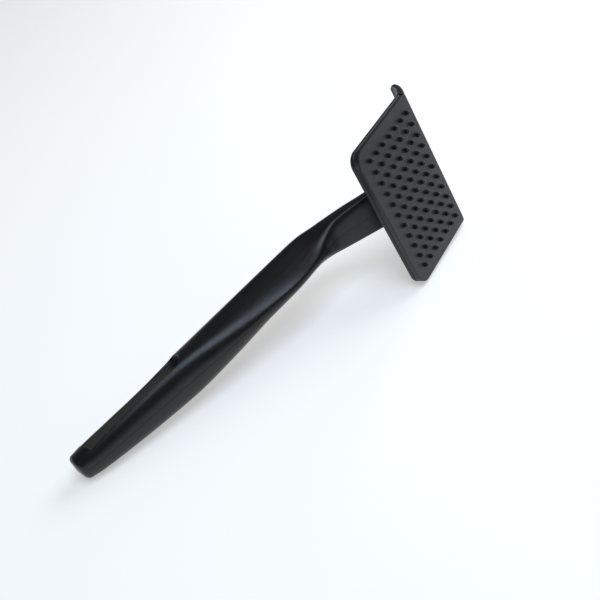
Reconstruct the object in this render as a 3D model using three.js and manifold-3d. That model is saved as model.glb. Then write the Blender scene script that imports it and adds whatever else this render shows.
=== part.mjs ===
// Stud brush with an angled handle: a two-layer head plate with 77 short studs and a bent
// scraping lip, on a hollow handle of two halves with a stiffening strap inside. Millimetres.
//
// Tool frame, in which every piece is drawn: X runs from the handle toward the lip, Z stands
// out of the stud face, and the origin is the middle of the stud field, on the stud face.
// At the end the group is turned so that the tool lies on its side, as it does on a table.
import * as THREE from 'three';
import { mergeVertices } from 'three/addons/utils/BufferGeometryUtils.js';
import Module from 'manifold-3d';

const wasm = await Module();
wasm.setup();

// ---- Driving dimensions ----------------------------------------------------------------------

const GAP = 0.3;

const HEAD = {
  nearEdge: -25.5, farEdge: 22.9, halfLength: 37, nearCorner: 6, farCorner: 1,
  faceThickness: 2.6, backThickness: 2.2,
};
const STUDS = {
  pitch: 6, perStrip: 11, strips: 7, baseRadius: 1.15, endRadius: 1, height: 2.2, sides: 10,
};
const RIB = { halfWidth: 1.7, thickness: 1, endMargin: 2.7, clearance: 0.2 };
// The lip's tip, and how far from it the bends of its front and back curves lie
const LIP = {
  tipX: 36.1, tipZ: -15, thickness: 2, frontBend: [-0.9, 6.6], backBend: [-2.7, 5.2],
};
const SEAT_PEG = { radius: 1.2, length: 1.7, inset: 3.2, places: [-30, -10, 10, 30] };
const COLLAR = { wall: 2, height: 5, fromX: -20 };

// The handle from the butt to the head: centre of the section (x, z), half width at its back
// and at its front, which is the studs' side, half depth, and how square its corners are
// (1 is an ellipse, 0 a rectangle).
const HANDLE = [
  { x: -173.3, z: -80.1, back: 6.2, front: 6.2, depth: 5.6, square: 0.8 },
  { x: -167, z: -77.4, back: 7.0, front: 7.0, depth: 6.4, square: 0.8 },
  { x: -153, z: -71.7, back: 8.1, front: 8.1, depth: 6.8, square: 0.8 },
  { x: -137.5, z: -65.8, back: 9.1, front: 9.1, depth: 7.1, square: 0.8 },
  { x: -118, z: -59.1, back: 9.8, front: 9.7, depth: 8.1, square: 0.8 },
  { x: -96, z: -51.7, back: 11, front: 6.9, depth: 9.5, square: 0.8 },
  { x: -79, z: -46.1, back: 11.8, front: 4.2, depth: 9.8, square: 0.75 },
  { x: -61, z: -40.5, back: 11.9, front: 2.9, depth: 10.4, square: 0.7 },
  { x: -48.5, z: -38.4, back: 11.2, front: 2.9, depth: 10, square: 0.7 },
  { x: -41, z: -37, back: 10.3, front: 4, depth: 8.9, square: 0.65 },
  { x: -34.8, z: -34.7, back: 9.2, front: 6, depth: 7.1, square: 0.6 },
  { x: -28, z: -31, back: 8.8, front: 8.2, depth: 5.2, square: 0.5 },
  { x: -21, z: -25.2, back: 9.3, front: 9.1, depth: 4.2, square: 0.45 },
  { x: -12, z: -16.9, back: 9.8, front: 9.8, depth: 3.5, square: 0.45 },
  { x: 9, z: 2.7, back: 11.3, front: 11.3, depth: 3.5, square: 0.45 },
];
const SECTION = { points: 24, ringsPerStation: 3 };
// The butt is rounded off, and its end face leans: the front stops short of the back
const BUTT = { round: 2.5, lean: 0.17, leanFrom: 5, leanLength: 12, turns: [0, 0.33, 0.67] };
const HOLLOW = { fromX: -170, toX: -34, wall: 2 };
const POCKET = {
  startX: -169, endX: -117.5, halfHeight: 4.8, towardBack: 0.6, slant: 3,
  floorAtStart: 5.1, floorAtEnd: 6.9, floorWall: 1.5, cut: 20,
};
const PEG = {
  radius: 1.2, bossRadius: 2.4, offset: 4.2, reach: 2, full: 20, places: [-148, -112, -86, -66],
};
const STRAP = { fromX: -155, halfWidth: 3.8, halfThickness: 0.9, steps: 36 };

const backFace = -(HEAD.faceThickness + GAP + HEAD.backThickness);
const ribTop = RIB.thickness - HEAD.faceThickness;
const stripPlaces = centredRow(STUDS.strips, STUDS.pitch);
const studPlaces = centredRow(STUDS.perStrip, STUDS.pitch);
const ribHalfLength = studPlaces.at(-1) + RIB.endMargin;
const FAR = 500;
const CURVE_SEGMENTS = 8;

// ---- Helpers -----------------------------------------------------------------------------------

function centredRow(count, pitch) {
  return Array.from({ length: count }, (_, k) => (k - (count - 1) / 2) * pitch);
}

// A closed geometry as a solid that can be joined and cut
function toSolid(geometry) {
  geometry.deleteAttribute('normal');
  geometry.deleteAttribute('uv');
  const merged = mergeVertices(geometry, 1e-4);
  const corners = merged.index.array;
  const kept = [];
  for (let k = 0; k < corners.length; k += 3) {
    const [a, b, c] = corners.slice(k, k + 3);
    if (a !== b && b !== c && c !== a) kept.push(a, b, c);
  }
  return new wasm.Manifold(new wasm.Mesh({
    numProp: 3,
    vertProperties: new Float32Array(merged.attributes.position.array),
    triVerts: new Uint32Array(kept),
  }));
}

function toMesh(name, solid, color, roughness) {
  const { vertProperties, triVerts } = solid.getMesh();
  const geometry = new THREE.BufferGeometry();
  geometry.setAttribute('position', new THREE.BufferAttribute(vertProperties.slice(), 3));
  geometry.setIndex(new THREE.BufferAttribute(triVerts.slice(), 1));
  geometry.computeVertexNormals();
  const material = new THREE.MeshStandardMaterial({ color, roughness, metalness: 0 });
  const mesh = new THREE.Mesh(geometry, material);
  mesh.name = name;
  return mesh;
}

function block(min, max) {
  const geometry = new THREE.BoxGeometry(max[0] - min[0], max[1] - min[1], max[2] - min[2]);
  geometry.translate((min[0] + max[0]) / 2, (min[1] + max[1]) / 2, (min[2] + max[2]) / 2);
  return toSolid(geometry);
}

// Everything between two heights, or on one side of the handle's middle plane
function layer(bottom, top) {
  return block([-FAR, -FAR, bottom], [FAR, FAR, top]);
}

function sideOfMiddle(side, from) {
  if (side > 0) return block([-FAR, from, -FAR], [FAR, FAR, FAR]);
  return block([-FAR, -FAR, -FAR], [FAR, -from, FAR]);
}

// A round bar standing along Z, or lying along Y
function uprightBar(radius, x, y, bottom, top, sides = 16) {
  const geometry = new THREE.CylinderGeometry(radius, radius, top - bottom, sides);
  geometry.rotateX(Math.PI / 2);
  geometry.translate(x, y, (bottom + top) / 2);
  return toSolid(geometry);
}

function crossBar(radius, centre, minY, maxY, sides = 16) {
  const geometry = new THREE.CylinderGeometry(radius, radius, maxY - minY, sides);
  geometry.translate(centre.x, (minY + maxY) / 2, centre.z);
  return toSolid(geometry);
}

function extrude(outline, depth) {
  return new THREE.ExtrudeGeometry(outline, {
    depth, bevelEnabled: false, curveSegments: CURVE_SEGMENTS,
  });
}

// A closed skin through rings of equal length, with a flat cap at each end
function loft(rings) {
  const count = rings[0].length;
  const last = (rings.length - 1) * count;
  const index = [];
  for (let a = 0; a < last; a += 1) {
    const b = a % count === count - 1 ? a + 1 - count : a + 1;
    index.push(a, b, b + count, a, b + count, a + count);
  }
  for (let k = 1; k + 1 < count; k += 1) {
    index.push(0, k + 1, k, last, last + k, last + k + 1);
  }
  const geometry = new THREE.BufferGeometry().setFromPoints(rings.flat());
  geometry.setIndex(index);
  return toSolid(geometry);
}

// ---- Head --------------------------------------------------------------------------------------

// The plate outline: round corners on the handle's side, nearly square ones at the lip
function headOutline() {
  const { nearEdge, farEdge, halfLength, nearCorner, farCorner } = HEAD;
  const outline = new THREE.Shape();
  outline.absarc(farEdge - farCorner, farCorner - halfLength, farCorner, -Math.PI / 2, 0);
  outline.absarc(farEdge - farCorner, halfLength - farCorner, farCorner, 0, Math.PI / 2);
  outline.absarc(nearEdge + nearCorner, halfLength - nearCorner, nearCorner, Math.PI / 2, Math.PI);
  outline.absarc(nearEdge + nearCorner, nearCorner - halfLength, nearCorner, Math.PI, Math.PI * 1.5);
  return outline;
}

function headSlab(bottom, thickness) {
  return toSolid(extrude(headOutline(), thickness).translate(0, 0, bottom));
}

// The face plate: a hole for each stud, a groove behind each row, four pegs at its near edge
function makeFacePlate() {
  let plate = headSlab(-HEAD.faceThickness, HEAD.faceThickness);
  const halfWidth = RIB.halfWidth + RIB.clearance;
  const halfLength = ribHalfLength + RIB.clearance;
  for (const x of stripPlaces) {
    const grooveTop = ribTop + RIB.clearance;
    plate = plate.subtract(
      block([x - halfWidth, -halfLength, -FAR], [x + halfWidth, halfLength, grooveTop]));
    for (const y of studPlaces) {
      plate = plate.subtract(
        uprightBar(STUDS.baseRadius + GAP, x, y, ribTop, STUDS.height, STUDS.sides));
    }
  }
  const pegX = HEAD.nearEdge + SEAT_PEG.inset;
  const pegEnd = -HEAD.faceThickness - SEAT_PEG.length;
  for (const y of SEAT_PEG.places) {
    plate = plate.add(uprightBar(SEAT_PEG.radius, pegX, y, pegEnd, -HEAD.faceThickness / 2));
  }
  return toMesh('face_plate', plate, 0x3a3f42, 0.5);
}

// A stud is a slightly tapered peg with a round end
function studGeometry() {
  const { baseRadius, endRadius, height, sides } = STUDS;
  const foot = ribTop - RIB.thickness / 2;
  const profile = [new THREE.Vector2(0, foot), new THREE.Vector2(baseRadius, foot)];
  for (const angle of [0, Math.PI / 6, Math.PI / 3]) {
    const level = height - endRadius * (1 - Math.sin(angle));
    profile.push(new THREE.Vector2(endRadius * Math.cos(angle), level));
  }
  profile.push(new THREE.Vector2(0, height));
  return new THREE.LatheGeometry(profile, sides).rotateX(Math.PI / 2);
}

// One row of studs, standing on the rib that holds them behind the face plate
function makeStudStrip(x, number) {
  const { halfWidth } = RIB;
  let strip = block(
    [x - halfWidth, -ribHalfLength, -HEAD.faceThickness], [x + halfWidth, ribHalfLength, ribTop]);
  for (const y of studPlaces) {
    strip = strip.add(toSolid(studGeometry().translate(x, y, 0)));
  }
  return toMesh(`stud_strip_${number}`, strip, 0x141617, 0.38);
}

// The lip leaves the far edge at 45 degrees, toward the back, and bends a little more at its tip
function makeLip() {
  const { tipX, tipZ, thickness, frontBend, backBend } = LIP;
  const root = HEAD.farEdge + GAP;
  const foot = root - 2 * thickness;
  const backTop = backFace + HEAD.backThickness;
  const outline = new THREE.Shape();
  outline.moveTo(foot, backFace);
  outline.lineTo(root + 0.4 * thickness, backFace);
  outline.quadraticCurveTo(
    tipX + backBend[0], tipZ + backBend[1], tipX - 0.95 * thickness, tipZ - 0.1 * thickness);
  outline.quadraticCurveTo(tipX - 0.2 * thickness, tipZ - 0.45 * thickness, tipX, tipZ);
  outline.quadraticCurveTo(tipX + frontBend[0], tipZ + frontBend[1], root + 0.1 * thickness, 0);
  outline.lineTo(root, -0.1 * thickness);
  outline.lineTo(root, backTop);
  outline.lineTo(foot, backTop);
  const geometry = extrude(outline, 2 * HEAD.halfLength);
  geometry.rotateX(Math.PI / 2);
  geometry.translate(0, HEAD.halfLength, 0);
  return toSolid(geometry);
}

// The back plate with its lip, and a slanted collar that the end of the neck is glued into
function makeBackPlate() {
  const neckFrom = placeAtX(COLLAR.fromX);
  const collar = loft(handleRings(COLLAR.wall, neckFrom, 1));
  const neck = loft(handleRings(GAP, neckFrom, 1));
  let plate = headSlab(backFace, HEAD.backThickness)
    .add(makeLip())
    .add(collar.intersect(layer(backFace - COLLAR.height, backFace + HEAD.backThickness / 2)))
    .subtract(neck.intersect(layer(-FAR, backFace)));
  const pegX = HEAD.nearEdge + SEAT_PEG.inset;
  for (const y of SEAT_PEG.places) {
    plate = plate.subtract(uprightBar(SEAT_PEG.radius + GAP, pegX, y, backFace - GAP, 0));
  }
  return toMesh('back_plate', plate, 0x25282a, 0.45);
}

// ---- Handle ------------------------------------------------------------------------------------

// Smooth curves through the stations, all read at the same place, from 0 at the butt to 1
function stationCurve(pick) {
  return new THREE.CatmullRomCurve3(HANDLE.map(pick), false, 'catmullrom');
}

function centreLine() {
  return stationCurve((s) => new THREE.Vector3(s.x, 0, s.z));
}

// The place on the centre line with this x, found by halving
function placeAtX(x) {
  const line = centreLine();
  let low = 0;
  let high = 1;
  while (high - low > 1e-9) {
    const middle = (low + high) / 2;
    if (line.getPoint(middle).x < x) low = middle;
    else high = middle;
  }
  return low;
}

// Centre, forward and front directions at a place on the centre line
function axes(place) {
  const centre = centreLine().getPoint(place);
  const forward = centreLine().getTangent(place);
  const front = new THREE.Vector3(-forward.z, 0, forward.x);
  return { centre, forward, front };
}

// One section of the handle, grown by a margin and moved along the line by a shift
function handleRing(place, grow, shift = 0) {
  const { centre, forward, front } = axes(place);
  const size = stationCurve((s) => new THREE.Vector3(s.back, s.front, s.depth)).getPoint(place);
  const square = stationCurve((s) => new THREE.Vector3(s.square, 0, 0)).getPoint(place).x;
  const squared = (value) => Math.sign(value) * Math.abs(value) ** square;
  const fromButt = centre.distanceTo(centreLine().getPoint(0));
  const lean = BUTT.lean * Math.max(0, 1 - fromButt / BUTT.leanLength);
  return Array.from({ length: SECTION.points }, (_, k) => {
    const angle = 2 * Math.PI * k / SECTION.points;
    const rise = squared(Math.sin(angle));
    const up = rise * (size.z + grow);
    const halfWidth = (size.x + size.y) / 2 + rise * (size.y - size.x) / 2 + grow;
    return centre.clone()
      .addScaledVector(forward, shift + lean * (up + BUTT.leanFrom))
      .addScaledVector(front, up)
      .setY(squared(Math.cos(angle)) * halfWidth);
  });
}

function handleRings(grow, from, to) {
  const steps = Math.ceil((HANDLE.length - 1) * SECTION.ringsPerStation * (to - from));
  const step = (to - from) / steps;
  return Array.from({ length: steps + 1 }, (_, k) => handleRing(from + step * k, grow));
}

// A few shrinking rings that round off the butt
function buttRings() {
  return BUTT.turns.map((turn) => {
    const angle = turn * Math.PI / 2;
    return handleRing(0, -BUTT.round * (1 - Math.sin(angle)), -BUTT.round * Math.cos(angle));
  });
}

// A long pocket in one side of the grip, with a slanted lower end and a half-round upper end,
// grown by a margin. Its floor follows the taper of the grip.
function pocket(side, grow = 0) {
  const { startX, endX, halfHeight, towardBack, slant, floorAtStart, floorAtEnd, cut } = POCKET;
  const start = axes(placeAtX(startX)).centre;
  const end = axes(placeAtX(endX)).centre;
  const length = start.distanceTo(end);
  const outline = new THREE.Shape();
  outline.moveTo(-grow, -halfHeight - grow);
  outline.lineTo(length - halfHeight, -halfHeight - grow);
  outline.absarc(length - halfHeight, 0, halfHeight + grow, -Math.PI / 2, Math.PI / 2);
  outline.lineTo(slant - grow, halfHeight + grow);
  const geometry = extrude(outline, cut);
  geometry.translate(0, -towardBack, side > 0 ? -cut : 0);
  geometry.rotateY(side * Math.atan2(floorAtEnd - floorAtStart, length));
  geometry.rotateX(Math.PI / 2);
  geometry.rotateY(-Math.atan2(end.z - start.z, end.x - start.x));
  geometry.translate(start.x, side * (floorAtStart - grow), start.z);
  return toSolid(geometry);
}

// The handle's outside with both pockets, ending a gap short of the back plate
function handleOutside() {
  return loft([...buttRings(), ...handleRings(0, 0, 1)])
    .subtract(pocket(1))
    .subtract(pocket(-1))
    .intersect(layer(-FAR, backFace - GAP));
}

// The hollow inside, which leaves the walls and the pocket floors standing
function handleHollow() {
  return loft(handleRings(-HOLLOW.wall, placeAtX(HOLLOW.fromX), placeAtX(HOLLOW.toX)))
    .subtract(pocket(1, POCKET.floorWall))
    .subtract(pocket(-1, POCKET.floorWall));
}

// The strap follows the centre line from the grip to the end of the neck
function strapSolid(grow) {
  const from = placeAtX(STRAP.fromX);
  const width = STRAP.halfWidth + grow;
  const thick = STRAP.halfThickness + grow;
  const corners = [[width, thick], [-width, thick], [-width, -thick], [width, -thick]];
  const rings = Array.from({ length: STRAP.steps + 1 }, (_, k) => {
    const { centre, front } = axes(from + (1 - from) * k / STRAP.steps);
    return corners.map(([across, up]) => centre.clone().addScaledVector(front, up).setY(across));
  });
  return loft(rings).intersect(layer(-FAR, backFace - GAP));
}

function makeStrap() {
  return toMesh('stiffening_strap', strapSolid(0), 0x8b8f92, 0.6);
}

function pegCentre(x) {
  const { centre, front } = axes(placeAtX(x));
  return centre.addScaledVector(front, -PEG.offset);
}

// The left half carries the locating pegs
function makeLeftHalf() {
  const outside = handleOutside();
  let half = outside
    .subtract(handleHollow())
    .subtract(strapSolid(GAP))
    .intersect(sideOfMiddle(1, GAP / 2));
  for (const x of PEG.places) {
    half = half.add(crossBar(PEG.radius, pegCentre(x), -PEG.reach, PEG.full).intersect(outside));
  }
  return toMesh('handle_half_left', half, 0x202325, 0.4);
}

// The right half carries the bosses that the pegs enter
function makeRightHalf() {
  const outside = handleOutside();
  let half = outside.subtract(handleHollow()).subtract(strapSolid(GAP));
  for (const x of PEG.places) {
    half = half.add(crossBar(PEG.bossRadius, pegCentre(x), -PEG.full, 0).intersect(outside));
  }
  for (const x of PEG.places) {
    half = half.subtract(crossBar(PEG.radius + GAP, pegCentre(x), -PEG.reach - GAP, GAP));
  }
  return toMesh('handle_half_right', half.intersect(sideOfMiddle(-1, GAP / 2)), 0x202325, 0.4);
}

// ---- The tool ----------------------------------------------------------------------------------

// Lying on its side, the tool rests on the end of the plate, the end of the lip and the butt:
// turn it about the line from plate to lip until the right half's lowest place is reached.
function layOnSide(tool, rightHalf) {
  const plateEnd = new THREE.Vector3(HEAD.nearEdge + HEAD.nearCorner, -HEAD.halfLength, backFace);
  const lipEnd = new THREE.Vector3(LIP.tipX, -HEAD.halfLength, LIP.tipZ);
  const inward = new THREE.Vector3(0, 1, 0);
  const towardButt = lipEnd.clone().sub(plateEnd).cross(inward).normalize().negate();
  const points = rightHalf.geometry.attributes.position;
  let turn = Math.PI / 2;
  for (let k = 0; k < points.count; k += 1) {
    const fromPlate = new THREE.Vector3().fromBufferAttribute(points, k).sub(plateEnd);
    const distance = fromPlate.dot(towardButt);
    if (distance > HEAD.halfLength) turn = Math.min(turn, Math.atan2(fromPlate.y, distance));
  }
  const up = inward.multiplyScalar(Math.cos(turn)).addScaledVector(towardButt, -Math.sin(turn));
  const ahead = new THREE.Vector3(1, 0, 0).projectOnPlane(up).normalize();
  const turned = new THREE.Matrix4().makeBasis(ahead, up.clone().cross(ahead), up).transpose();
  tool.quaternion.setFromRotationMatrix(turned);
  tool.updateMatrixWorld(true);
  const bounds = new THREE.Box3().setFromObject(tool, true);
  const middle = bounds.getCenter(new THREE.Vector3());
  tool.position.set(-middle.x, -middle.y, -bounds.min.z);
}

const brush = new THREE.Group();
const rightHalf = makeRightHalf();
brush.name = 'stud_brush';
brush.add(makeFacePlate());
brush.add(...stripPlaces.map((x, k) => makeStudStrip(x, k + 1)));
brush.add(makeBackPlate(), makeLeftHalf(), rightHalf, makeStrap());
layOnSide(brush, rightHalf);

export default brush;
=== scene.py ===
"""Looks of a stud brush in black moulded plastic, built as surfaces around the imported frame.

Shapes are worked out in the tool frame, in millimetres: X runs from the handle toward the lip,
Z stands out of the stud face, and the origin is the middle of the stud field on that face.
place() carries them into the row frame, in metres.
"""
import math

import bmesh
import bpy
import numpy as np
from mathutils import Matrix, Vector


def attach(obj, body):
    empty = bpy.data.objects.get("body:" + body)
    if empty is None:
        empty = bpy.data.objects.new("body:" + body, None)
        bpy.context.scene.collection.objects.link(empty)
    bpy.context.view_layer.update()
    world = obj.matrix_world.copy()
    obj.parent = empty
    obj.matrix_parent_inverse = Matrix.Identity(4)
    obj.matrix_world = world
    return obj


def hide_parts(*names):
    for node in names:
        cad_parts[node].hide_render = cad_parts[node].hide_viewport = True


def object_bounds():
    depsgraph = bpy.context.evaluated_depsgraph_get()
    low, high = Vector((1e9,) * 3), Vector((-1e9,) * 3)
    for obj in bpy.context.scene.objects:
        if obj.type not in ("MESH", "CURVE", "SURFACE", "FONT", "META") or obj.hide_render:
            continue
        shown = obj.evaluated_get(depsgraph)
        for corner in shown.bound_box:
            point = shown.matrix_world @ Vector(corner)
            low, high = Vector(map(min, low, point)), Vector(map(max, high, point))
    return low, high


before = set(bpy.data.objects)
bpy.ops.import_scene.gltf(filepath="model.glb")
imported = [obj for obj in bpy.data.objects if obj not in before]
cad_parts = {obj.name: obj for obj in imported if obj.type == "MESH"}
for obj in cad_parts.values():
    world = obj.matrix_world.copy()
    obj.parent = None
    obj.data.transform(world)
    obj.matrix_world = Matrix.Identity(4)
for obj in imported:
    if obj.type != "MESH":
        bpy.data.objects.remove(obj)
cad_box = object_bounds()

MM = 0.001

# ---- Sizes in millimetres --------------------------------------------------------------------

# The gap between neighbouring solids of the frame
GAP = 0.3

NEAR_EDGE = -25.5
FAR_EDGE = 23.3
BACK_FAR_EDGE = FAR_EDGE + 0.6
HALF_LENGTH = 36.98
NEAR_CORNER = 6.0
FAR_CORNER = 1.2
FACE_THICKNESS = 2.6
BACK_THICKNESS = 2.2
FACE_EDGE = 0.35
BACK_EDGE = 0.9
# On the flats above and below a rounded edge a supporting loop lies this many edge radii in
EDGE_SUPPORT = 1.6
SMALLEST_ARC = 0.02
# The gap between the two plates as it is seen, finer than the gap in the frame
SHOWN_GAP = 0.12
BACK_TOP = -FACE_THICKNESS - SHOWN_GAP
BACK_FACE = -FACE_THICKNESS - GAP - BACK_THICKNESS

STRIPS = 7
STUDS_PER_STRIP = 11
STUD_PITCH = 6.0
STUD_HEIGHT = 2.2
STUD_RADIUS = 1.15
STUD_END_RADIUS = 1.0
STUD_FOOT = 0.06
# The root of a stud inside the face plate, as a share of its radius
STUD_ROOT = 0.9
RIB_HALF_WIDTH = 1.7
RIB_THICKNESS = 1.0
RIB_EDGE = 0.2

# The lip's front and back curves: start, bend and end, as x and z
LIP_FRONT = ((22.9, -0.05), (35.4, -8.2), (36.1, -15.0))
LIP_BACK = ((24.0, -5.1), (33.4, -9.8), (34.2, -15.2))
LIP_TIP_ROUND = 0.9
LIP_CORNER = 3.5
LIP_END_ROUND = 0.6
# On the lip's front and back a supporting row lies this much further in than its rounded ends
LIP_END_SUPPORT = 0.5
# Where on the two curves the rounding of the tip takes over, from 0 at the start to 1
LIP_TIP_FROM = 0.95

# The handle from the butt to the head: centre of the section (x, z), half width at its back and
# at its front, half depth, and how square its corners are (1 is an ellipse, 0 a rectangle). Most
# of the values come from a numerical fit, rounded, and the rest were changed after it.
HANDLE = np.array([
    [-173.3, -80.1, 6.2, 6.2, 5.6, 0.8],
    [-167, -77.4, 7.0, 7.0, 6.4, 0.8],
    [-153, -71.7, 8.1, 8.1, 6.8, 0.8],
    [-137.5, -65.8, 9.1, 9.1, 7.1, 0.8],
    [-118, -59.1, 9.8, 9.7, 8.1, 0.8],
    [-96, -51.7, 11.0, 6.9, 9.5, 0.8],
    [-79, -46.1, 11.8, 4.2, 9.8, 0.75],
    [-61, -40.5, 11.9, 2.9, 10.4, 0.7],
    [-48.5, -38.4, 11.2, 2.9, 10.0, 0.7],
    [-41, -37.0, 10.3, 4.0, 8.9, 0.65],
    [-34.8, -34.7, 9.2, 6.0, 7.1, 0.6],
    [-28, -31.0, 8.8, 8.2, 5.2, 0.5],
    [-21, -25.2, 9.3, 9.1, 4.2, 0.45],
    [-12, -16.9, 9.8, 9.8, 3.5, 0.45],
    [9, 2.7, 11.3, 11.3, 3.5, 0.45],
])
BUTT_ROUND = 2.5
BUTT_DOME = 0.5
# The seam as it is seen, finer than the gap in the frame
SEAM_HALF_GAP = 0.012
SEAM_ROUND = 0.05
BUTT_LEAN = 0.17
BUTT_LEAN_FROM = 5.0
BUTT_LEAN_LENGTH = 12.0
# The section at this x is slid along the neck to make the collar and end the neck
NECK_END_X = -4.0
NECK_ROWS_END = -2.0
WALL = 2.0
# Half width and half depth of the room that the hollow always keeps for the strap
STRAP_SLOT = (4.1, 1.2)
HOLLOW_START = -170.0
# The hollow opens to its full section over this length, and has corners this square
HOLLOW_TAPER = 4.0
HOLLOW_SQUARE = 0.6

POCKET_START = -169.0
POCKET_END = -117.5
POCKET_HALF_HEIGHT = 4.8
POCKET_TOWARD_BACK = 0.6
POCKET_SLANT = 3.0
POCKET_FLOOR = (5.1, 6.9)
POCKET_DRAFT = 0.9
# The hollow stays this far under the pocket's floor, until this far past the pocket's end
POCKET_FLOOR_WALL = 1.5
POCKET_WALL_PAST = 4.0
# The matte floor starts this far inside the outline and is full this much further in
POCKET_MATTE_FROM = 0.16
POCKET_MATTE_RAMP = 0.4
# The painted shade in the corner under the pocket's round end: its centre is this far back from
# the round end, and it fades out over this distance, reaching nothing at POCKET_END_REACH
POCKET_END_BACK = 1.8
POCKET_END_SHADE = 3.6
POCKET_END_REACH = 5.76

COLLAR_WALL = 2.0
COLLAR_HEIGHT = 5.0
COLLAR_FOOT = 1.2
COLLAR_RIM = 0.7
COLLAR_CHAMFER = 0.2
# The collar's inside lies this far within the neck's end section, so that no slit shows
COLLAR_GRIP = -0.5

# Spacing of the rows along the handle: over the butt, along the pocket and past it
BUTT_STEP = 0.5
POCKET_STEP = 0.22
GRIP_STEP = 0.7
FINE_ROWS_BEFORE_POCKET = 1.0
FINE_ROWS_PAST_POCKET = 1.5


# ---- The tool frame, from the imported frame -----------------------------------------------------

def corner_points(node):
    """Every distinct vertex of a CAD node, in metres."""
    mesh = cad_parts[node].data
    points = np.empty(3 * len(mesh.vertices), np.float32)
    mesh.vertices.foreach_get("co", points)
    return np.unique(points.reshape(-1, 3).round(7), axis=0).astype(float)


def unit(vector):
    return vector / np.linalg.norm(vector, axis=-1, keepdims=True)


def tool_axes():
    """X from the first stud strip to the last one, Y the longest direction of the middle strip,
    pointing up in the row frame, and Z square to both."""
    ahead = unit(corner_points("stud_strip_7").mean(0) - corner_points("stud_strip_1").mean(0))
    middle = corner_points("stud_strip_4")
    across = np.linalg.svd(middle - middle.mean(0), full_matrices=False)[2][0]
    across = unit(across - ahead * (across @ ahead)) * np.sign(across[2])
    return np.array([ahead, across, np.cross(ahead, across)])


AXES = tool_axes()


def tool_origin():
    """The middle of the middle strip, a stud's height below its top."""
    local = corner_points("stud_strip_4") @ AXES.T
    middle = (local.min(0) + local.max(0)) / 2
    middle[2] = local[:, 2].max() - STUD_HEIGHT * MM
    return middle @ AXES


ORIGIN = tool_origin()


def place(points):
    """From the tool frame in millimetres to the row frame in metres."""
    return ORIGIN + (points * MM) @ AXES


def extent(node):
    """Lowest and highest corner of a CAD node in the tool frame, in millimetres."""
    local = (corner_points(node) - ORIGIN) @ AXES.T / MM
    return local.min(0), local.max(0)


# ---- Meshes ------------------------------------------------------------------------------------

def skin(points):
    """A closed surface over a grid of points: each row is a closed loop, and the first and the
    last row are filled flat."""
    rows, cols = points.shape[:2]
    first = np.arange(rows - 1)[:, None] * cols + np.arange(cols)
    second = np.arange(rows - 1)[:, None] * cols + (np.arange(cols) + 1) % cols
    quads = np.stack([first, second, second + cols, first + cols], -1).reshape(-1, 4)
    caps = [np.arange(cols)[::-1], np.arange(cols) + (rows - 1) * cols]
    return points.reshape(-1, 3), quads.tolist(), [cap.tolist() for cap in caps]


def piece(name, material, surfaces, nodes=(), sharp=40.0):
    """Joins closed surfaces into one object that rides on the root body. Doubles are merged
    first, then the faces are turned outward, and edges sharper than an angle stay crisp."""
    mesh = bpy.data.meshes.new(name)
    points = np.vstack([surface[0] for surface in surfaces])
    starts = np.cumsum([0] + [len(surface[0]) for surface in surfaces])
    faces = []
    for start, (_, quads, caps) in zip(starts, surfaces):
        faces += (np.array(quads) + start).tolist()
        faces += [(np.array(cap) + start).tolist() for cap in caps]
    mesh.from_pydata(place(points).tolist(), [], faces)
    work = bmesh.new()
    work.from_mesh(mesh)
    bmesh.ops.remove_doubles(work, verts=work.verts, dist=2e-6)
    bmesh.ops.dissolve_degenerate(work, edges=work.edges, dist=1e-6)
    bmesh.ops.recalc_face_normals(work, faces=work.faces)
    work.to_mesh(mesh)
    work.free()
    mesh.shade_smooth()
    mesh.set_sharp_from_angle(angle=math.radians(sharp))
    mesh.materials.append(material)
    made = bpy.data.objects.new(name, mesh)
    bpy.context.scene.collection.objects.link(made)
    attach(made, "root")
    if nodes:
        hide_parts(*nodes)
    return made


def mark(made, name, values_at):
    """Stores a number at each vertex, worked out from its place in the tool frame."""
    mesh = made.data
    points = np.empty(3 * len(mesh.vertices), np.float32)
    mesh.vertices.foreach_get("co", points)
    local = (points.reshape(-1, 3) - ORIGIN) @ AXES.T / MM
    attribute = mesh.attributes.new(name, "FLOAT", "POINT")
    attribute.data.foreach_set("value", values_at(local).astype(np.float32))


# ---- Head --------------------------------------------------------------------------------------

def rounded_outline(low_x, high_x, half_y, low_radius, high_radius, inset):
    """A rectangle with a quarter circle at each corner, moved inward: straight sides join arcs
    whose radii shrink by the inset."""
    turns = np.radians(np.linspace(0, 90, 13))
    corners = [
        (high_x - high_radius, high_radius - half_y, high_radius, -90),
        (high_x - high_radius, half_y - high_radius, high_radius, 0),
        (low_x + low_radius, half_y - low_radius, low_radius, 90),
        (low_x + low_radius, low_radius - half_y, low_radius, 180),
    ]
    arcs = []
    for x, y, radius, start in corners:
        angle = turns + math.radians(start)
        reach = max(radius - inset, SMALLEST_ARC)
        arcs.append(np.stack([x + reach * np.cos(angle), y + reach * np.sin(angle)], -1))
    return np.vstack(arcs)


def edge_profile(low, high, radius):
    """Insets and heights of a plate's edge, from below to above: flat, a quarter round, the wall
    and another quarter round."""
    turn = np.radians(np.linspace(0, 90, 6))
    insets = radius * (1 - np.sin(turn))
    heights = radius * (1 - np.cos(turn))
    inset = np.concatenate([[EDGE_SUPPORT * radius], insets, insets[::-1], [EDGE_SUPPORT * radius]])
    height = np.concatenate([[low], low + heights, high - heights[::-1], [high]])
    return inset, height


def plate(low_x, high_x, half_y, low_radius, high_radius, low, high, edge):
    """A plate: the edge profile carried round the outline."""
    loops = []
    for inset, height in zip(*edge_profile(low, high, edge)):
        loop = rounded_outline(low_x, high_x, half_y, low_radius, high_radius, inset)
        loops.append(np.column_stack([loop, np.full(len(loop), height)]))
    return skin(np.array(loops))


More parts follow.
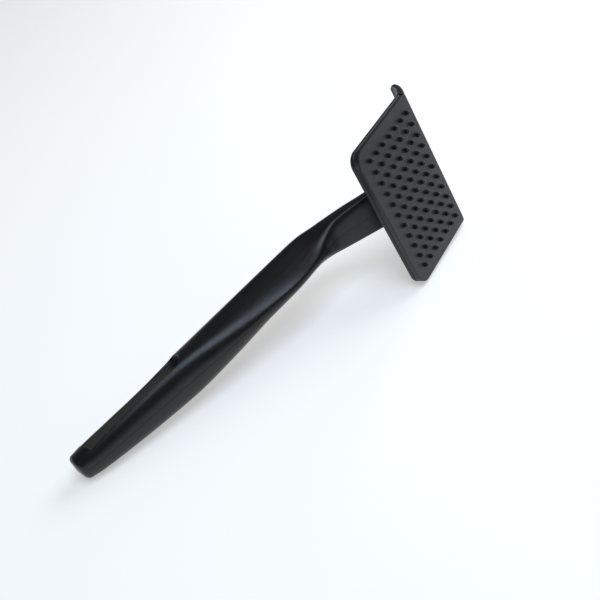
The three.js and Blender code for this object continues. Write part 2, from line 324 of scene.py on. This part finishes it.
def make_face_plate(material):
    surface = plate(NEAR_EDGE, FAR_EDGE, HALF_LENGTH, NEAR_CORNER, FAR_CORNER,
                    -FACE_THICKNESS, 0.0, FACE_EDGE)
    return piece("face_plate_skin", material, [surface], ["face_plate"])


def stud_rows(xs, ys):
    """Studs as turned profiles: a flared foot, a tapering side and a round end, spun round each
    stud's own axis."""
    fillet = np.radians(np.linspace(0, 90, 4))
    dome = np.radians(np.linspace(0, 86, 6))
    radius = np.concatenate([
        [STUD_RADIUS * STUD_ROOT],
        STUD_RADIUS + STUD_FOOT * (1 - np.sin(fillet)),
        STUD_END_RADIUS * np.cos(dome),
    ])
    height = np.concatenate([
        [-FACE_THICKNESS / 2],
        STUD_FOOT * (1 - np.cos(fillet)),
        STUD_HEIGHT - STUD_END_RADIUS * (1 - np.sin(dome)),
    ])
    turn = np.radians(np.arange(0, 360, 18))
    ring = np.stack([np.cos(turn), np.sin(turn)], -1)
    studs = []
    for x in xs:
        for y in ys:
            flat = radius[:, None, None] * ring + np.array([x, y])
            tall = np.broadcast_to(height[:, None, None], flat.shape[:2] + (1,))
            studs.append(skin(np.concatenate([flat, tall], -1)))
    return studs


def make_stud_strips(material):
    """One piece for each strip: a flat rib behind the face plate, with its row of studs."""
    made = []
    ys = (np.arange(STUDS_PER_STRIP) - (STUDS_PER_STRIP - 1) / 2) * STUD_PITCH
    corner = RIB_HALF_WIDTH - RIB_EDGE
    for number in range(1, STRIPS + 1):
        node = f"stud_strip_{number}"
        low, high = extent(node)
        x = (low[0] + high[0]) / 2
        rib = plate(x - RIB_HALF_WIDTH, x + RIB_HALF_WIDTH, high[1], corner, corner,
                    -FACE_THICKNESS, RIB_THICKNESS - FACE_THICKNESS, RIB_EDGE)
        made.append(piece(f"stud_row_{number}", material,
                          [rib] + stud_rows([x], ys), [node]))
    return made


def quadratic(start, bend, end, t):
    """A quadratic curve: start, pulled toward bend, to end."""
    start, bend, end = (np.array(p, float) for p in (start, bend, end))
    t = t[:, None]
    return start * (1 - t) ** 2 + bend * 2 * t * (1 - t) + end * t ** 2


def lip_surface():
    """The lip: a flat bar with half-round ends, carried from the far edge out and down to the
    tip. Its front and back follow two quadratic curves. At the tip the thickness falls as the
    cosine of a turn while the middle moves on by its sine, and the corners there are arcs."""
    rows = 24
    turn = np.radians(np.linspace(0, 90, 7))[1:]
    along = np.concatenate([np.linspace(0, LIP_TIP_FROM, rows), np.full(len(turn), LIP_TIP_FROM)])
    tip = np.concatenate([np.zeros(rows), turn])
    front = quadratic(*LIP_FRONT, along)
    back = quadratic(*LIP_BACK, along)
    middle = (front + back) / 2
    half = (front - back) / 2 * np.cos(tip)[:, None]
    ahead = unit(np.gradient(middle[:rows], axis=0)[-1])
    middle += ahead * (LIP_TIP_ROUND * np.sin(tip))[:, None]
    travelled = np.concatenate([[0], np.cumsum(np.linalg.norm(np.diff(middle, axis=0), axis=1))])
    left = np.clip(travelled[-1] - travelled, 0, LIP_CORNER)
    arc = np.sqrt(LIP_CORNER ** 2 - (LIP_CORNER - left) ** 2)
    reach = (HALF_LENGTH - LIP_CORNER + arc)[:, None]
    side = np.radians(np.linspace(-90, 90, 11))
    out = np.concatenate([[-1.0], np.cos(side) - 1, [-1.0]]) * LIP_END_ROUND
    out[[0, -1]] -= LIP_END_SUPPORT
    up = np.concatenate([[-1.0], np.sin(side), [1.0]])
    loop_y = np.concatenate([reach + out, -(reach + out[::-1])], 1)
    loop_up = np.concatenate([up, up[::-1]])
    xz = middle[:, None, :] + half[:, None, :] * loop_up[None, :, None]
    return skin(np.stack([xz[..., 0], loop_y, xz[..., 1]], -1))


def collar_surface():
    """The collar: a profile of outward offsets and heights, carried round the neck's section
    where it meets the back plate."""
    angle = np.radians(np.arange(0, 360, 4))
    turn = np.radians(np.linspace(0, 90, 6))
    top = BACK_FACE + BACK_THICKNESS / 2
    end = BACK_FACE - COLLAR_HEIGHT
    grow = np.concatenate([
        [COLLAR_WALL + COLLAR_FOOT],
        COLLAR_WALL + COLLAR_FOOT * (1 - np.sin(turn)),
        COLLAR_WALL - COLLAR_RIM * (1 - np.cos(turn)),
        [COLLAR_GRIP + COLLAR_CHAMFER, COLLAR_GRIP, COLLAR_GRIP],
    ])
    height = np.concatenate([
        [top],
        BACK_FACE - COLLAR_FOOT * (1 - np.cos(turn)),
        end + COLLAR_RIM * (1 - np.sin(turn)),
        [end, end + COLLAR_CHAMFER, top],
    ])
    loops = [neck_cut(angle, g, h) for g, h in zip(grow, height)]
    points, quads, _ = skin(np.array(loops + [loops[0]]))
    return points, quads, []


def make_back_plate(material):
    """The back plate with its lip, and the collar that holds the end of the neck."""
    slab = plate(NEAR_EDGE, BACK_FAR_EDGE, HALF_LENGTH, NEAR_CORNER, FAR_CORNER,
                 BACK_FACE, BACK_TOP, BACK_EDGE)
    made = [piece("back_plate_skin", material, [slab], ["back_plate"])]
    made.append(piece("scraping_lip", material, [lip_surface()]))
    made.append(piece("neck_collar", material, [collar_surface()]))
    return made


# ---- Handle ------------------------------------------------------------------------------------

def catmull_rom(values, place_on):
    """A smooth curve through evenly numbered values: between two of them a cubic whose slope at
    each is half the step between that one's neighbours."""
    padded = np.vstack([2 * values[0] - values[1], values, 2 * values[-1] - values[-2]])
    at = np.clip(place_on, 0, 1) * (len(values) - 1)
    k = np.minimum(at.astype(int), len(values) - 2)
    w = (at - k)[:, None]
    a, b, c, d = (padded[k + n] for n in range(4))
    return b + w / 2 * ((c - a) + w * ((2 * a - 5 * b + 4 * c - d) + w * (3 * b - a - 3 * c + d)))


def place_at_x(x):
    """The place on the handle, from 0 at the butt to 1 at the head, whose centre has this x."""
    fine = np.linspace(0, 1, 4001)
    return np.interp(x, catmull_rom(HANDLE, fine)[:, 0], fine)


def line_at(place_on):
    """Centre, forward and front directions, and the section's sizes, at places on the handle."""
    values = catmull_rom(HANDLE, place_on)
    step = 1e-4
    ahead = catmull_rom(HANDLE, np.minimum(place_on + step, 1)) - catmull_rom(
        HANDLE, np.maximum(place_on - step, 0))
    zero = np.zeros(len(values))
    forward = unit(np.column_stack([ahead[:, 0], zero, ahead[:, 1]]))
    front = np.column_stack([-forward[:, 2], zero, forward[:, 0]])
    return np.column_stack([values[:, 0], zero, values[:, 1]]), forward, front, values[:, 2:]


def squared(value, power):
    return np.sign(value) * np.abs(value) ** power


def section(place_on, angle, grow):
    """The handle's section: a superellipse whose half width runs from its back value to its
    front value. Angle 90 degrees is the front, 0 the left side."""
    centre, forward, front, size = line_at(place_on)
    power = size[:, 3:4]
    rise = squared(np.sin(angle), power)
    half = (size[:, 0:1] + size[:, 1:2]) / 2 + rise * (size[:, 1:2] - size[:, 0:1]) / 2 + grow
    across = squared(np.cos(angle), power) * half
    points = centre[:, None, :] + front[:, None, :] * (rise * (size[:, 2:3] + grow))[..., None]
    points[..., 1] = across
    return points


def neck_cut(angle, grow, height):
    """The section at the end of the neck, slid along the neck until every point is at a height."""
    end = np.array([place_at_x(NECK_END_X)])
    points = section(end, angle[None, :], grow)[0]
    forward = line_at(end)[1][0]
    return points + forward * ((height - points[:, 2]) / forward[2])[:, None]


def pocket_frame():
    """Start and direction of the pocket, its across direction and its length."""
    ends = line_at(place_at_x(np.array([POCKET_START, POCKET_END])))[0]
    along = unit(ends[1] - ends[0])
    return ends[0], along, np.array([-along[2], 0, along[0]]), np.linalg.norm(ends[1] - ends[0])


def in_pocket_frame(points):
    """How far each point lies along the pocket and across it, and the pocket's length."""
    start, along, across, length = pocket_frame()
    return (points - start) @ along, (points - start) @ across + POCKET_TOWARD_BACK, length


def pocket_depth(points):
    """How far into the pocket's outline a point lies, in millimetres, and how high the floor is
    there: the outline is a slot with a slanted start and a half-round end, and the floor rises
    along it."""
    a, b, length = in_pocket_frame(points)
    radius = POCKET_HALF_HEIGHT
    past = a - (length - radius)
    round_end = radius - np.hypot(past, b)
    straight = np.minimum(radius - np.abs(b), a - POCKET_SLANT * (b + radius) / (2 * radius))
    inside = np.where(past > 0, round_end, straight)
    floor = POCKET_FLOOR[0] + (POCKET_FLOOR[1] - POCKET_FLOOR[0]) * a / length
    return inside, floor


def pocket_mask(points):
    """1 on the pocket's floor, falling to 0 just inside its outline."""
    return smooth((pocket_depth(points)[0] - POCKET_MATTE_FROM) / POCKET_MATTE_RAMP)


def pocket_end_painted_shade_mask(points):
    """Painted shade: 1 in the corner under the pocket's round end, 0 a few millimetres away."""
    a, b, length = in_pocket_frame(points)
    away = np.hypot(a - length + POCKET_END_BACK, b)
    return pocket_mask(points) * smooth((POCKET_END_REACH - away) / POCKET_END_SHADE)


def smooth(value):
    """0 below 0, 1 above 1, with a smooth rise between them."""
    value = np.clip(value, 0, 1)
    return value * value * (3 - 2 * value)


def sink_pocket(points):
    """Moves the side of the grip in to the pocket's floor, over a drafted wall."""
    inside, floor = pocket_depth(points)
    share = smooth(inside / POCKET_DRAFT + 0.5)
    target = np.minimum(points[..., 1], floor)
    points[..., 1] += share * (target - points[..., 1])


def handle_places():
    """Places of the rows, from 0 to 1: close together along the pocket, further apart before
    and past it."""
    fine_from = POCKET_START - FINE_ROWS_BEFORE_POCKET
    fine_to = POCKET_END + FINE_ROWS_PAST_POCKET
    return place_at_x(np.concatenate([
        np.arange(HANDLE[0, 0], fine_from, BUTT_STEP),
        np.arange(fine_from, fine_to, POCKET_STEP),
        np.arange(fine_to, NECK_ROWS_END, GRIP_STEP),
    ]))


def half_angles():
    """Angles of the columns on the left half, close together beside the seams."""
    seam = np.array([0, 0.5, 1.1, 2, 3.3, 5, 7.5, 10.5, 14])
    middle = np.arange(16, 90, 2)
    quarter = 90 - np.concatenate([seam, middle])
    return np.radians(np.concatenate([-quarter, [0.0], quarter[::-1]]))


def butt_rows(first, angle):
    """Rows from the middle of the end face outward, then a quarter circle round its rim. The
    end face is a shallow cone, and its rows lie closer together toward the rim."""
    centre, forward, _, _ = line_at(first)
    rim = []
    for turn in np.radians(np.linspace(0, 90, 10))[:-1]:
        ring = section(first, angle, -BUTT_ROUND * (1 - math.sin(turn)))[0]
        rim.append(ring - forward[0] * BUTT_ROUND * math.cos(turn))
    shares = np.sqrt(np.linspace(0.0, 1, 9))[:-1]
    middle = centre[0] - forward[0] * (BUTT_ROUND + BUTT_DOME)
    face = [middle + (rim[0] - middle) * share for share in shares]
    return np.array(face + rim)


def lean_butt(points, centre, forward, front):
    """Leans the end face: near the butt each point moves forward in proportion to its height."""
    nearness = np.clip(1 - (points - centre) @ forward / BUTT_LEAN_LENGTH, 0, 1)
    height = (points - centre) @ front
    return points + forward * (BUTT_LEAN * nearness * (height + BUTT_LEAN_FROM))[..., None]


def outer_half():
    """The outside of the left half: sections along the handle with the pocket sunk in, and the
    edges beside the seam rounded over by a quarter circle."""
    rows = handle_places()
    angle = half_angles()[None, :]
    points = section(rows, angle, 0.0)
    sink_pocket(points)
    centre, forward, front, _ = line_at(rows)
    edge = np.clip(SEAM_ROUND + SEAM_HALF_GAP - points[..., 1], 0, SEAM_ROUND)
    drop = SEAM_ROUND - np.sqrt(SEAM_ROUND ** 2 - edge ** 2)
    points -= front[:, None, :] * (np.sign(np.sin(angle)) * drop)[..., None]
    points = np.concatenate([butt_rows(rows[:1], angle), points])
    points = lean_butt(points, centre[0], forward[0], front[0])
    points[..., 1] = np.maximum(points[..., 1], SEAM_HALF_GAP)
    return points


def inner_half(count):
    """The inside of the left half, row by row with the outside: the section less the wall, never
    narrower than the strap's slot, closing to a point where the hollow starts."""
    rows = handle_places()
    centre, _, front, size = line_at(rows)
    angle = np.radians(np.linspace(90, -90, 25))[None, :]
    half_width = np.maximum(np.minimum(size[:, 0], size[:, 1]) - WALL, STRAP_SLOT[0])
    half_depth = np.maximum(size[:, 2] - WALL, STRAP_SLOT[1])
    open_share = smooth((centre[:, 0] - HOLLOW_START) / HOLLOW_TAPER)[:, None]
    rise = squared(np.sin(angle), HOLLOW_SQUARE) * half_depth[:, None] * open_share
    points = centre[:, None, :] + front[:, None, :] * rise[..., None]
    points[..., 1] = squared(np.cos(angle), HOLLOW_SQUARE) * half_width[:, None] * open_share
    floor = pocket_depth(centre)[1]
    in_pocket = (centre[:, 0] < POCKET_END + POCKET_WALL_PAST)[:, None]
    limit = np.where(in_pocket, (floor - POCKET_FLOOR_WALL)[:, None], np.inf)
    points[..., 1] = np.clip(points[..., 1], SEAM_HALF_GAP, np.maximum(limit, SEAM_HALF_GAP))
    lead = np.repeat(points[:1], count - len(points), axis=0)
    return np.concatenate([lead, points])


def cut_at_plate(points):
    """Ends the neck a gap short of the back plate: what would pass it is slid back along the
    neck to that height."""
    forward = line_at(np.array([place_at_x(NECK_END_X)]))[1][0]
    limit = BACK_FACE - GAP
    over = np.maximum(points[..., 2] - limit, 0)
    return points - forward * (over / forward[2])[..., None]


def make_handle(material):
    """Two closed shells, mirror images, that meet at a fine seam."""
    outside = outer_half()
    inside = inner_half(len(outside))
    shell = cut_at_plate(np.concatenate([outside, inside], axis=1))
    made = []
    for side, name in ((1, "left"), (-1, "right")):
        surface = skin(shell * np.array([1, side, 1]))
        half = piece(f"grip_half_{name}", material, [surface],
                     [f"handle_half_{name}"], sharp=50.0)
        mark(half, "pocket", pocket_mask)
        # painted shade in the corner under the pocket's round end
        mark(half, "pocket_end_painted_shade", pocket_end_painted_shade_mask)
        made.append(half)
    return made


# ---- Materials ---------------------------------------------------------------------------------

def linear(hex_colour):
    """An sRGB hex colour as linear red, green, blue and a full alpha."""
    srgb = np.array([int(hex_colour[k:k + 2], 16) for k in (0, 2, 4)]) / 255
    flat = np.where(srgb <= 0.04045, srgb / 12.92, ((srgb + 0.055) / 1.055) ** 2.4)
    return (*flat.tolist(), 1.0)


def add(tree, kind, settings=None, **inputs):
    """Adds a node. Settings are its properties. Inputs take a value or another node's output,
    and are called by name, with _ for a space, or by i and a number where names repeat."""
    node = tree.nodes.new(kind)
    for key, value in (settings or {}).items():
        setattr(node, key, value)
    for key, value in inputs.items():
        number = key[1:]
        socket = node.inputs[int(number) if number.isdigit() else key.replace("_", " ")]
        if isinstance(value, bpy.types.NodeSocket):
            tree.links.new(value, socket)
        else:
            socket.default_value = value
    return node


def new_material(name):
    material = bpy.data.materials.new(name)
    material.use_nodes = True
    material.node_tree.nodes.clear()
    return material, material.node_tree


def finish_material(tree, shader):
    output = tree.nodes.new("ShaderNodeOutputMaterial")
    tree.links.new(shader.outputs[0], output.inputs[0])


def per(size_mm):
    """A pattern scale whose feature is this many millimetres, on coordinates in metres."""
    return 1 / (size_mm * MM)


def tool_coordinates(tree, stretch=(1, 1, 1)):
    """Object coordinates turned to the tool's axes, and squeezed along them."""
    coordinates = add(tree, "ShaderNodeTexCoord").outputs["Object"]
    turned = add(tree, "ShaderNodeMapping", {"vector_type": "POINT"}, Vector=coordinates,
                 Rotation=Matrix(AXES.tolist()).to_euler())
    return add(tree, "ShaderNodeVectorMath", {"operation": "MULTIPLY"},
               i0=turned.outputs[0], i1=stretch).outputs[0]


def moulded_plastic(name, colour, roughness, grain_mm, grain_depth_mm, streak=0.04):
    """Polypropylene from a satin mould: near black, a spark-eroded grain, drawn coarser than
    the real one so that it shows, faint flow streaks along the tool that change the gloss, and
    a slow change of shade."""
    material, tree = new_material(name)
    here = add(tree, "ShaderNodeTexCoord").outputs["Object"]
    grain = add(tree, "ShaderNodeTexNoise", Vector=here, Scale=per(grain_mm), Detail=3.0)
    flow = add(tree, "ShaderNodeTexNoise", Vector=tool_coordinates(tree, (0.12, 1, 1)),
               Scale=per(1.6), Detail=4.0, Roughness=0.6)
    wear = add(tree, "ShaderNodeTexNoise", Vector=here, Scale=per(9), Detail=5.0)
    gloss = add(tree, "ShaderNodeMapRange", Value=flow.outputs[0], From_Min=0.3, From_Max=0.7,
                To_Min=roughness - streak, To_Max=roughness + streak)
    shade = add(tree, "ShaderNodeMapRange", Value=wear.outputs[0], From_Min=0.35, From_Max=0.75,
                To_Min=0.85, To_Max=1.25)
    tint = add(tree, "ShaderNodeVectorMath", {"operation": "SCALE"},
               i0=linear(colour)[:3], Scale=shade.outputs[0])
    bump = add(tree, "ShaderNodeBump", Height=grain.outputs[0], Distance=grain_depth_mm * MM,
               Strength=1.0)
    shader = add(tree, "ShaderNodeBsdfPrincipled", Base_Color=tint.outputs[0],
                 Roughness=gloss.outputs[0], IOR=1.5, Normal=bump.outputs[0])
    finish_material(tree, shader)
    return material


def grip_plastic():
    """Polypropylene from a satin mould, with the pocket floors left matte by a coarser spark
    grain: warmer, paler and rougher on the floor. The corner under the round end is coloured
    nearly black, to read as deep shade."""
    material = moulded_plastic("satin_black_polypropylene_grip", "0b0d0f", 0.35, 0.5, 0.012, 0.05)
    tree = material.node_tree
    shader = next(n for n in tree.nodes if n.type == "BSDF_PRINCIPLED")
    floor = add(tree, "ShaderNodeAttribute", {"attribute_name": "pocket"}).outputs["Fac"]
    # painted shade: the corner under the pocket's round end gets the nearly black 020202 below
    end = add(tree, "ShaderNodeAttribute", {"attribute_name": "pocket_end_painted_shade"}).outputs["Fac"]
    for mask, rough, colour in ((floor, 0.62, "2b2c29"), (end, 1.0, "020202")):
        was_rough = shader.inputs["Roughness"].links[0].from_socket
        was_colour = shader.inputs["Base Color"].links[0].from_socket
        roughness = add(tree, "ShaderNodeMix", {"data_type": "FLOAT"},
                        i0=mask, i2=was_rough, i3=rough)
        tint = add(tree, "ShaderNodeMix", {"data_type": "RGBA"},
                   i0=mask, i6=was_colour, i7=linear(colour))
        tree.links.new(roughness.outputs[0], shader.inputs["Roughness"])
        tree.links.new(tint.outputs[2], shader.inputs["Base Color"])
    return material


def strap_nylon():
    """Glass-filled nylon as moulded: pale grey with short fibres showing as a mottle, drawn
    coarser than the real one so that it shows."""
    material, tree = new_material("glass_filled_nylon_strap")
    here = add(tree, "ShaderNodeTexCoord").outputs["Object"]
    fibre = add(tree, "ShaderNodeTexNoise", Vector=here, Scale=per(0.8), Detail=4.0)
    bump = add(tree, "ShaderNodeBump", Height=fibre.outputs[0], Distance=0.02 * MM)
    ramp = add(tree, "ShaderNodeMapRange", Value=fibre.outputs[0], From_Min=0.3, From_Max=0.7,
               To_Min=0.8, To_Max=1.15)
    tint = add(tree, "ShaderNodeVectorMath", {"operation": "SCALE"},
               i0=linear("8b8f92")[:3], Scale=ramp.outputs[0])
    shader = add(tree, "ShaderNodeBsdfPrincipled", Base_Color=tint.outputs[0], Roughness=0.55,
                 Normal=bump.outputs[0])
    finish_material(tree, shader)
    return material


def pale_floor():
    """Opal acrylic of a light table: a soft, nearly even white that glows a little."""
    material, tree = new_material("opal_acrylic_light_table")
    here = add(tree, "ShaderNodeTexCoord").outputs["Object"]
    cloud = add(tree, "ShaderNodeTexNoise", Vector=here, Scale=per(220), Detail=2.0)
    ramp = add(tree, "ShaderNodeMapRange", Value=cloud.outputs[0], To_Min=0.98, To_Max=1.0)
    tint = add(tree, "ShaderNodeVectorMath", {"operation": "SCALE"},
               i0=linear("f4f4f3")[:3], Scale=ramp.outputs[0])
    shader = add(tree, "ShaderNodeBsdfPrincipled", Base_Color=tint.outputs[0], Roughness=0.8,
                 Emission_Color=tint.outputs[0], Emission_Strength=0.48)
    finish_material(tree, shader)
    return material


# ---- Camera, light and floor -------------------------------------------------------------------

# The camera looks at a point of the tool frame, in millimetres, from an azimuth turned from X
# toward Y and an elevation above the stud face's plane, and is rolled about its line of sight.
# These values come from a numerical fit too, turned into angles and rounded.
CAMERA_AIM = (-61.73, -11.03, -38.2)
CAMERA_AZIMUTH = 135.25
CAMERA_ELEVATION = 43.36
CAMERA_ROLL = 90.76
CAMERA_DISTANCE = 358.77
CAMERA_LENS = 46.76

FLOOR_RADIUS = 3.0


def direction(azimuth, elevation):
    """The direction from the object to a viewer at this azimuth and elevation, in degrees."""
    a, e = math.radians(azimuth), math.radians(elevation)
    return Vector((math.sin(a) * math.cos(e), -math.cos(a) * math.cos(e), math.sin(e)))


def make_camera():
    """A camera fixed to the tool frame: its back direction comes from azimuth and elevation, and
    its right and up directions are the level one and the one above it, turned by the roll."""
    azimuth, elevation, roll = np.radians([CAMERA_AZIMUTH, CAMERA_ELEVATION, CAMERA_ROLL])
    flat = math.cos(elevation)
    back = np.array([math.cos(azimuth) * flat, math.sin(azimuth) * flat, math.sin(elevation)])
    level = np.array([-math.sin(azimuth), math.cos(azimuth), 0.0])
    above = np.cross(back, level)
    right = level * math.cos(roll) + above * math.sin(roll)
    up = above * math.cos(roll) - level * math.sin(roll)
    data = bpy.data.cameras.new("camera")
    data.lens = CAMERA_LENS
    data.clip_start = 0.01
    camera = bpy.data.objects.new("camera", data)
    turn = Matrix((np.array([right, up, back]) @ AXES).T.tolist())
    place_at = Vector(place(np.array(CAMERA_AIM) + back * CAMERA_DISTANCE).tolist())
    camera.matrix_world = Matrix.Translation(place_at) @ turn.to_4x4()
    bpy.context.scene.collection.objects.link(camera)
    bpy.context.scene.camera = camera


def soft_box(name, azimuth, elevation, distance, size, radiance, colour):
    """A rectangular panel that faces the object. Its power gives it a brightness of its own,
    whatever its size: pi times area times radiance."""
    data = bpy.data.lights.new(name, "AREA")
    data.shape = "RECTANGLE"
    data.size, data.size_y = size
    data.energy = math.pi * size[0] * size[1] * radiance
    data.color = colour
    light = bpy.data.objects.new(name, data)
    towards = direction(azimuth, elevation)
    light.location = (cad_box[0] + cad_box[1]) / 2 + towards * distance
    light.rotation_mode = "QUATERNION"
    light.rotation_quaternion = towards.to_track_quat("Z", "Y")
    bpy.context.scene.collection.objects.link(light)


def make_lights():
    """A cool panel overhead, a weaker and nearly neutral one to the right, and a dim, even
    room."""
    soft_box("overhead_panel", azimuth=-10, elevation=76, distance=0.8, size=(0.5, 0.5),
             radiance=3.6, colour=(0.7, 0.84, 1.0))
    soft_box("right_panel", azimuth=80, elevation=30, distance=1.0, size=(0.8, 0.8),
             radiance=2.6, colour=(0.96, 1.0, 1.0))
    world = bpy.data.worlds.new("dim_room")
    world.use_nodes = True
    background = world.node_tree.nodes["Background"]
    background.inputs["Color"].default_value = (1.0, 0.98, 0.95, 1.0)
    background.inputs["Strength"].default_value = 0.13
    bpy.context.scene.world = world


def make_floor():
    """A round plain floor under the lowest point of the object."""
    turn = np.radians(np.arange(0, 360, 5))
    rim = np.column_stack([np.cos(turn), np.sin(turn), np.zeros(len(turn))]) * FLOOR_RADIUS
    rim[:, 2] = cad_box[0].z
    mesh = bpy.data.meshes.new("floor")
    mesh.from_pydata(rim.tolist(), [], [list(range(len(rim)))])
    mesh.materials.append(pale_floor())
    floor = bpy.data.objects.new("floor", mesh)
    bpy.context.scene.collection.objects.link(floor)


# ---- The tool ----------------------------------------------------------------------------------

make_camera()
make_lights()
make_floor()

head_plastic = moulded_plastic("satin_black_polypropylene_head", "191f21", 0.42, 0.45, 0.010)
stud_plastic = moulded_plastic("black_polypropylene_studs", "070808", 0.42, 0.4, 0.004)
handle_plastic = grip_plastic()

make_face_plate(head_plastic)
make_stud_strips(stud_plastic)
make_back_plate(head_plastic)
make_handle(handle_plastic)

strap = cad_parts["stiffening_strap"]
strap.data.materials.clear()
strap.data.materials.append(strap_nylon())

bpy.context.scene.view_settings.view_transform = "Standard"
